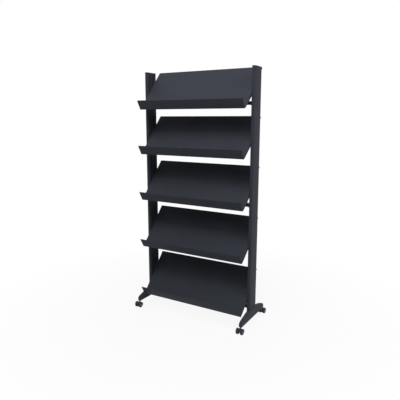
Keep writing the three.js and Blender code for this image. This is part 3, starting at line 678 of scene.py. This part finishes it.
class RACK_OT_crossbars(RackOperator, bpy.types.Operator):
    """Rectangular bars between the uprights, with gussets under their ends, held by button-head screws"""

    bl_idname = "rack.crossbars"
    bl_label = "Crossbars"

    GUSSET_STEPS = 10
    SCREW_SIDES = 36
    DOME_STEPS = 8
    DOME_FROM, DOME_TO = 0.20, 0.86  # stretch of h that the dome shows
    SOCKET_FLOOR, SOCKET_RIM, DOME_RISE, HEAD_RIM = 0.35, 0.97, 0.70, 0.12  # of the head's height
    SHANK = 0.55  # of the head's radius

    def execute(self, context):
        sizes = context.scene.rack_sizes
        for place in CROSSBARS:
            self.bar(sizes, f"crossbar_{place}")
            for side_name, side in SIDES.items():
                self.screw(sizes, place, side_name, side)
        return {"FINISHED"}

    def bar(self, sizes, node):
        """A rounded rectangle carried along X, and at each end a triangle whose long side is a quarter
        circle. The triangle ends inside the bar."""
        low, high = box_of(node)
        tall = high[Z] - low[Z] - sizes.gusset
        section = rounded_rectangle(high[Y] - low[Y], tall, sizes.crossbar_corner)
        section += ((low[Y] + high[Y]) / 2, high[Z] - tall / 2)
        surface = Surface().prism(carried(section, (low[X], high[X]), X))
        leg, lap, front = sizes.gusset, tall / 4, low[Y] + sizes.crossbar_corner
        curve = arc((-leg, -leg), leg, math.pi / 2, 0, self.GUSSET_STEPS)
        outline = np.concatenate([[(-sizes.fit, lap), (-leg, lap)], curve]) + (0, high[Z] - tall)
        for end, side in ((low[X], -1), (high[X], 1)):
            gusset = outline * (side, 1) + (end, 0)
            surface.prism(carried(gusset, (front, front + sizes.gusset_sheet), Y))
        soften(form(surface, node, ROOT, "powder coat"), sizes.edge)

    def screw(self, sizes, place, side_name, side):
        """A domed head, radius R sqrt(1-h^2), with a six-sided socket r / cos(t mod 60) sunk in it."""
        node = f"crossbar_screw_{place}_{side_name}"
        low, high = box_of(node)
        middle, radius = (low + high) / 2, (high - low)[Y] / 2
        outside, tip = (high[X], low[X]) if side > 0 else (low[X], high[X])
        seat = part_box(f"upright_{side_name}")[1 if side > 0 else 0][X]
        head, depth, shank = abs(outside - seat), abs(tip - seat), self.SHANK * radius
        floor, rim = head * self.SOCKET_FLOOR, head * self.SOCKET_RIM
        t = (np.arange(self.SCREW_SIDES) + 0.5) * 2 * math.pi / self.SCREW_SIDES
        hexagon = sizes.socket / 2 / np.cos((t + math.pi / 6) % (math.pi / 3) - math.pi / 6)
        h = np.linspace(self.DOME_TO, self.DOME_FROM, self.DOME_STEPS)
        socket = [(floor, 0), (floor, hexagon), (rim, hexagon)]
        dome = zip(head * (1 - self.DOME_RISE * (1 - h)), radius * np.sqrt(1 - h**2))
        body = [(head * self.HEAD_RIM, radius), (0, radius), (0, shank), (-depth, shank), (-depth, 0)]
        rings = [np.broadcast_arrays(height, wide, t)[:2] for height, wide in (*socket, *dome, *body)]
        height, wide = np.array(rings).transpose(1, 0, 2)
        places = (seat + side * height, middle[Y] + wide * np.cos(t), middle[Z] + wide * np.sin(t))
        faces = grid_faces(len(rings), self.SCREW_SIDES)
        form(Surface().add(np.stack(places, -1), faces), node, ROOT, "black zinc")


def slope(tilt):
    """The way up a slope in Y and Z, and the way square to it on its underside, as rows."""
    return np.array([(math.cos(tilt), math.sin(tilt)), (math.sin(tilt), -math.cos(tilt))])


def shelf_outline(sizes):
    """The folded sheet's outline from its front fold, in Y and Z: flange, panel, lip and turned edge."""
    panel, behind = slope(sizes.panel_tilt)
    lip, inward = slope(math.pi - sizes.lip_tilt)
    rear = sizes.panel_length * panel
    lip_top = sizes.lip_length * lip
    hem_top = lip_top + (sizes.sheet + 2 * sizes.hem_bend) * inward
    corners = [rear + sizes.rear_flange * behind, rear, (0, 0), lip_top, hem_top, hem_top - sizes.hem * lip]
    return folded_sheet(corners, sizes.sheet, [sizes.sheet_bend] * 2 + [sizes.hem_bend] * 2)


def front_fold(sizes, place):
    """Where the front fold of a shelf lies, in Y and Z."""
    return np.array(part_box(f"shelf_{place}")[0])[1:] - shelf_outline(sizes).min(0)


class RACK_OT_shelves(RackOperator, bpy.types.Operator):
    """Five shelves of one folded sheet: rear flange, inclined panel and front lip with a turned edge"""

    bl_idname = "rack.shelves"
    bl_label = "Shelves"

    def execute(self, context):
        sizes = context.scene.rack_sizes
        for place in SHELVES:
            node = f"shelf_{place}"
            low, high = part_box(node)
            outline = shelf_outline(sizes) + front_fold(sizes, place)
            surface = Surface().prism(carried(outline, (low[X], high[X]), X))
            soften(form(surface, node, ROOT, "powder coat"), sizes.edge)
        return {"FINISHED"}


class RACK_OT_brackets(RackOperator, bpy.types.Operator):
    """The brackets under the shelf ends: a tapered arm, a flange and two hooks in the slots"""

    bl_idname = "rack.brackets"
    bl_label = "Brackets"

    STRIP_DROP = 1 / 9  # of the sheet, so that the strip and the plate share no plane

    def execute(self, context):
        sizes = context.scene.rack_sizes
        for place in SHELVES:
            for side_name, side in SIDES.items():
                self.bracket(sizes, place, side_name, side)
        return {"FINISHED"}

    def hook_places(self, sizes, side_name, fold):
        """The highest slot of each column that lies deep enough below the panel, measured from the fold."""
        low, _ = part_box(f"upright_{side_name}")
        columns = low[Y] + sizes.slot_inset + np.array([0, sizes.slot_columns])
        limit = fold[1] + (columns - fold[0]) * math.tan(sizes.panel_tilt) - sizes.hook_depth
        rows = np.floor((limit - sizes.slot_first) / sizes.slot_pitch)
        return np.stack([columns, sizes.slot_first + rows * sizes.slot_pitch], -1) - fold

    def hook_shape(self, sizes):
        """A hook's outline from the outer face of the plate and the middle of a slot, in X and Z."""
        thick, behind = sizes.bracket_sheet, sizes.upright_wall + 2 * sizes.fit
        sill = sizes.fit - sizes.slot / 2
        return np.array([
            (-thick / 2, sill), (behind, sill), (behind, sill - sizes.hook_nib),
            (behind + thick, sill - sizes.hook_nib), (behind + thick, sill + thick / 2),
            (behind + thick / 2, sill + thick), (-thick / 2, sill + thick),
        ])

    def bracket(self, sizes, place, side_name, side):
        """A tapered plate and a strip carried a little way along X, and hook outlines carried along Y. The
        outlines are laid down along and under the panel."""
        node = f"shelf_bracket_{place}_{side_name}"
        fold, axes = front_fold(sizes, place), slope(sizes.panel_tilt)
        hooks = self.hook_places(sizes, side_name, fold)
        along, _ = axes @ hooks.T
        near, far = along.min() - sizes.bracket_margin, along.max() + sizes.bracket_margin
        start, fall, top = sizes.bracket_start, math.tan(sizes.bracket_slope), sizes.sheet / 2 + sizes.fit
        thick, corner = sizes.bracket_sheet, sizes.bracket_corner
        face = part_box(f"upright_{side_name}")[0 if side > 0 else 1][X] - side * sizes.fit
        arm = np.array([(start, top), (start, start * fall), (far, far * fall), (far, top)])
        radii = np.array([[sizes.edge / 2], [sizes.edge / 2], [corner], [corner]])
        arm = rounded_polygon(arm, radii) @ axes + fold
        upper, lower, rear = top + self.STRIP_DROP * thick, top + thick, far - corner
        strip = np.array([(near, upper), (near, lower), (rear, lower), (rear, upper)]) @ axes + fold
        surface = Surface().prism(carried(arm, (face - side * thick, face), X))
        surface.prism(carried(strip, (face - side * sizes.bracket_flange, face - side * thick / 2), X))
        for y, z in hooks + fold:
            hook = self.hook_shape(sizes) * (side, 1) + (face, z)
            surface.prism(carried(hook, (y - sizes.hook_width / 2, y + sizes.hook_width / 2), Y))
        soften(form(surface, node, ROOT, "powder coat"), sizes.edge / 2)


class RACK_OT_casters(RackOperator, bpy.types.Operator):
    """Four twin-wheel casters: wheels with dished faces, a hood on a web, a stem and an axle"""

    bl_idname = "rack.casters"
    bl_label = "Casters"

    WHEEL_SIDES = 48
    # The wheel's bore, hub, groove from foot to edge, rim, shoulder and crown, of its radius
    WHEEL_RADII = (0.19, 0.44, 0.52, 0.68, 0.76, 0.90, 0.985)
    GROOVE, CROWN = 0.70, 0.75  # how far out they lie, of the wheel's half width
    WHEEL_ROUNDING = 0.05  # of the wheel's radius
    HOOD_STEPS, WEB_STEPS, BOSS_STEPS, ROUNDING_STEPS = 39, 36, 10, 4
    HOOD_WALL = 2 / 3  # of the room over the wheel
    HOOD_ROUNDING = 0.49  # of the wall
    HOOD_FROM, HOOD_TO = math.radians(35), math.radians(200)
    WEB_BOSS = 0.41  # of the wheel's radius
    WEB_FLANK = math.radians(30)  # turn from the end of the hood to the boss
    PIN_SIDES = 24
    PIN = 0.6  # of the radius of the axle's head or the stem's collar
    HEAD_FLAT, HEAD_DOME = 0.8, 0.2  # of the head's radius, and of its thickness

    def execute(self, context):
        sizes = context.scene.rack_sizes
        for end_name, end in ENDS.items():
            for side_name, side in SIDES.items():
                place = f"{end_name}_{side_name}"
                for face, outward in (("inner", -side), ("outer", side)):
                    self.wheel(sizes, f"{place}_{face}", outward)
                self.hood(sizes, place, end)
                self.axle(sizes, place)
                self.stem(sizes, place, side_name)
        return {"FINISHED"}

    def wheel(self, sizes, place, outward):
        """A rounded profile turned about the axle: a crowned tread, a grooved face and a sunk hub."""
        node = f"caster_wheel_{place}"
        low, high = box_of(node)
        half, radius = (high - low)[X] / 2, (high - low)[Z] / 2
        bore, hub, groove_foot, groove_edge, rim, shoulder, crown = radius * np.array(self.WHEEL_RADII)
        dish, groove, tread_edge = half - sizes.wheel_dish, self.GROOVE * half, self.CROWN * half
        corners = np.array([
            (bore, -half), (shoulder, -half), (crown, -tread_edge), (radius, 0), (crown, tread_edge),
            (shoulder, half), (rim, half), (groove_edge, groove), (groove_foot, groove), (hub, dish),
            (bore, dish),
        ])
        profile = rounded_profile(corners, self.WHEEL_ROUNDING * radius)
        points, faces = turned(np.concatenate([profile, profile[:1]]), self.WHEEL_SIDES)
        points[..., X] *= outward
        points += (low + high) / 2
        form(Surface().add(points, faces), node, f"wheel_{place}", "caster tread")

    def hood(self, sizes, place, end):
        """A thin rounded strip carried round an arc over the wheels, and a web that fills the arc between
        them."""
        node = f"caster_hood_{place}"
        low, high = box_of(node)
        inner, outer = box_of(f"caster_wheel_{place}_inner"), box_of(f"caster_wheel_{place}_outer")
        centre, wheel_radius = sum(inner)[1:] / 2, (inner[1] - inner[0])[Z] / 2
        reach = high[Z] - centre[1]
        wall = self.HOOD_WALL * (reach - wheel_radius)
        strip = rounded_rectangle((high - low)[X], wall, self.HOOD_ROUNDING * wall, self.ROUNDING_STEPS)
        t = np.linspace(self.HOOD_FROM, self.HOOD_TO, self.HOOD_STEPS + 1)[:, None]
        radius = reach - wall / 2 + strip[:, 1]
        loops = np.stack(np.broadcast_arrays(
            (low + high)[X] / 2 + strip[:, 0],
            centre[0] + end * radius * np.cos(t),
            centre[1] + radius * np.sin(t),
        ), -1)
        rim = arc((0, 0), reach - wall / 2, self.HOOD_FROM, self.HOOD_TO, self.WEB_STEPS)
        boss_from, boss_to = self.HOOD_TO + self.WEB_FLANK, self.HOOD_FROM + 2 * math.pi - self.WEB_FLANK
        boss = arc((0, 0), self.WEB_BOSS * wheel_radius, boss_from, boss_to, self.BOSS_STEPS)
        outline = np.concatenate([rim, boss]) * (end, 1) + centre
        between = np.sort([corner[X] for corner in (*inner, *outer)])[1:3]
        web = carried(outline, between + np.array([1, -1]) * sizes.web_gap, X)
        form(Surface().prism(loops).prism(web), node, f"caster_{place}", "nylon")

    def axle(self, sizes, place):
        """A pin with a domed head at each end."""
        node = f"caster_axle_{place}"
        low, high = box_of(node)
        end, head = (high - low)[X] / 2, (high - low)[Z] / 2
        pin, flat = self.PIN * head, self.HEAD_FLAT * head
        edge, seat = end - self.HEAD_DOME * sizes.axle_head, end - sizes.axle_head
        half = np.array([(pin, seat), (head, seat), (flat, edge), (0, end)])
        points, faces = turned(np.concatenate([half[::-1] * (1, -1), half]), self.PIN_SIDES)
        points += (low + high) / 2
        form(Surface().add(points, faces), node, f"caster_{place}", "zinc steel")

    def stem(self, sizes, place, side_name):
        """A pin with a collar under the foot."""
        node = f"caster_stem_{place}"
        low, high = box_of(node)
        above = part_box(f"foot_{side_name}")[0][Z] - sizes.fit
        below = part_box(f"caster_hood_{place}")[1][Z] + sizes.fit
        collar = (high - low)[X] / 2
        pin = self.PIN * collar
        corners = [
            (0, low[Z]), (pin, low[Z]), (pin, below), (collar, below),
            (collar, above), (pin, above), (pin, high[Z]), (0, high[Z]),
        ]
        points, faces = turned(corners, self.PIN_SIDES)
        points = points[..., [Y, Z, X]] + (*((low + high) / 2)[:2], 0)
        form(Surface().add(points, faces), node, f"caster_{place}", "zinc steel")


class RACK_OT_stage(RackOperator, bpy.types.Operator):
    """A white floor that fades into the surroundings, soft lights and the camera"""

    bl_idname = "rack.stage"
    bl_label = "Stage"

    LIGHTS = {
        "key": {"size": 2.4, "place": (1.2, -2.6, 3.5), "target": (0, 0, 0.8)},
        "top": {"size": 1.2, "place": (0.38, -1.4, 3.2), "target": (0, 0, 0.9)},
        "fill": {"size": 1.6, "place": (3.2, -0.8, 2.8), "target": (-0.3, 0, 1.2)},
        "rear": {"size": 2.0, "place": (-1.4, 3.2, 2.4), "target": (0, 0, 0.8)},
    }
    WHITE = (1.0, 1.0, 1.0)
    FLOOR_RADIUS, FLOOR_SIDES = 40, 64
    FLOOR_MATT = (0.8, 0.8, 0.8)
    SENSOR = 36  # width of the camera's frame, in millimetres

    def execute(self, context):
        scene, stage = context.scene, context.scene.rack_stage
        scene.view_settings.view_transform = "Standard"
        self.world(scene, stage)
        self.floor(stage)
        for name, light in self.LIGHTS.items():
            self.light(scene, name, getattr(stage, f"{name}_light"), **light)
        self.camera(scene, stage)
        return {"FINISHED"}

    def world(self, scene, stage):
        """White where the camera or a mirror looks, and a plain soft light elsewhere."""
        scene.world = bpy.data.worlds.new("surroundings")
        scene.world.use_nodes = True
        tree = scene.world.node_tree
        background = tree.nodes["Background"]
        background.inputs["Color"].default_value = (*self.WHITE, 1)
        strength = stage.world_light + seen_or_mirrored(tree) * (1 - stage.world_light)
        tree.links.new(strength.socket, background.inputs["Strength"])

    def floor(self, stage):
        """A disc whose white diffuse surface turns into plain white with distance, for the camera alone."""
        rim = arc((0, 0), self.FLOOR_RADIUS, 0, 2 * math.pi, self.FLOOR_SIDES)[:-1]
        finish = Finish("studio floor")
        radius = finish.node("VectorMath", {"operation": "LENGTH"}, {0: finish.place}, output="Value")
        near = stage.floor_white
        fade = near + (1 - near) * radius.between(stage.fade_from, stage.fade_to)
        share = seen_or_mirrored(finish.tree) * fade
        matt = finish.node("BsdfDiffuse", inputs={"Color": self.FLOOR_MATT})
        white = finish.node("Emission", inputs={"Color": self.WHITE, "Strength": 1.0})
        finish.node_output(finish.node("MixShader", inputs={0: share, 1: matt, 2: white}))
        disc = Surface().add(carried(rim, [0], Z), [np.arange(len(rim))])
        disc.object("floor", finish.material, outward=False)

    def light(self, scene, name, power, size, place, target):
        """A square soft light that looks at a target."""
        lamp = bpy.data.lights.new(name, "AREA")
        lamp.energy, lamp.size = power, size
        made = bpy.data.objects.new(name, lamp)
        made.location = place
        aim = Vector(target) - made.location
        made.rotation_euler = aim.to_track_quat("-Z", "Y").to_euler()
        scene.collection.objects.link(made)

    def camera(self, scene, stage):
        """The photograph's viewpoint."""
        lens = bpy.data.cameras.new("viewpoint")
        lens.lens, lens.sensor_width = stage.lens, self.SENSOR
        made = bpy.data.objects.new("viewpoint", lens)
        made.location = stage.camera_place
        turns = ((stage.camera_turn, "Z"), (math.pi / 2 - stage.camera_dip, "X"), (stage.camera_roll, "Z"))
        turn, dip, roll = (Matrix.Rotation(by, 3, about) for by, about in turns)
        made.rotation_euler = (turn @ dip @ roll).to_euler()
        scene.collection.objects.link(made)
        scene.camera = made


class RACK_PT_panel(bpy.types.Panel):
    """The rack's operators and settings"""

    bl_idname = "RACK_PT_panel"
    bl_label = "Display Rack"
    bl_space_type = "VIEW_3D"
    bl_region_type = "UI"
    bl_category = "Rack"

    def draw(self, context):
        for operator in OPERATORS:
            self.layout.operator(operator.bl_idname)
        for group in (context.scene.rack_sizes, context.scene.rack_colours, context.scene.rack_stage):
            column = self.layout.column()
            for name in group.__annotations__:
                column.prop(group, name)


GROUPS = {"rack_sizes": RackSizes, "rack_colours": RackColours, "rack_stage": RackStage}
OPERATORS = (
    RACK_OT_uprights,
    RACK_OT_caps,
    RACK_OT_feet,
    RACK_OT_crossbars,
    RACK_OT_shelves,
    RACK_OT_brackets,
    RACK_OT_casters,
    RACK_OT_stage,
)


def register():
    """Adds the property groups, the operators and the panel."""
    for name, group in GROUPS.items():
        bpy.utils.register_class(group)
        setattr(bpy.types.Scene, name, PointerProperty(type=group))
    for cls in (*OPERATORS, RACK_PT_panel):
        bpy.utils.register_class(cls)


def unregister():
    """Takes them out again."""
    for cls in reversed((*OPERATORS, RACK_PT_panel)):
        bpy.utils.unregister_class(cls)
    for name, group in GROUPS.items():
        delattr(bpy.types.Scene, name)
        bpy.utils.unregister_class(group)


def main():
    """Builds the rack and its stage."""
    register()
    bpy.ops.rack.uprights()
    bpy.ops.rack.caps()
    bpy.ops.rack.feet()
    bpy.ops.rack.crossbars()
    bpy.ops.rack.shelves()
    bpy.ops.rack.brackets()
    bpy.ops.rack.casters()
    bpy.ops.rack.stage()


if __name__ == "__main__":
    main()
